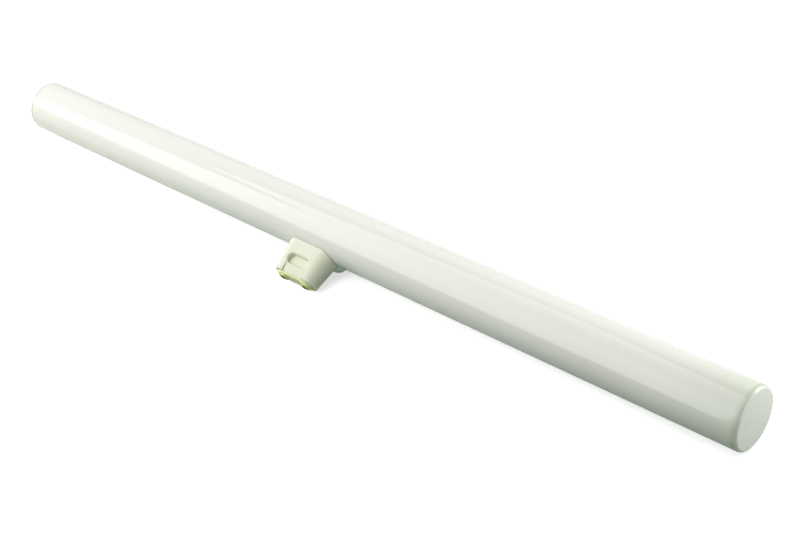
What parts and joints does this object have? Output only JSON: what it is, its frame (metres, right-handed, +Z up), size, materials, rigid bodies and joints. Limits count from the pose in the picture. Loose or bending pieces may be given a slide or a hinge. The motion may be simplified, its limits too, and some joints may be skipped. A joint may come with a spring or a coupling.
{
  "type": "tubular light bulb",
  "caption": "Straight opal glass tube with closed rounded ends and a moulded cap at mid-length; the cap plugs into a lampholder that grips its side recesses and feeds its two contacts.",
  "frame": {"origin": "under the middle of the lamp's bounding box, on the surface that the lamp lies on", "axes": "+X along the tube, +Z up as the lamp lies on its tube and on the lower edge of its cap, cap towards -Y"},
  "size_m": [0.5, 0.0474, 0.03],
  "materials": {
    "opal_glass": "gloss, opal white",
    "cap_plastic": "satin off-white moulding",
    "carrier_plastic": "satin yellowish moulding",
    "cement": "satin, slightly milky",
    "contact_metal": "dark, tarnished",
    "lead_wire": "drawn wire",
    "solder": "dull grey solder"
  },
  "bodies": {
    "root": {"glass_tube": "opal_glass", "cap_housing": "cap_plastic", "contact_carrier": "carrier_plastic", "cap_cement": "cement", "contact_near": "contact_metal", "contact_far": "contact_metal", "lead_near": "lead_wire", "lead_far": "lead_wire", "solder_near": "solder", "solder_far": "solder"}
  },
  "joints": []
}
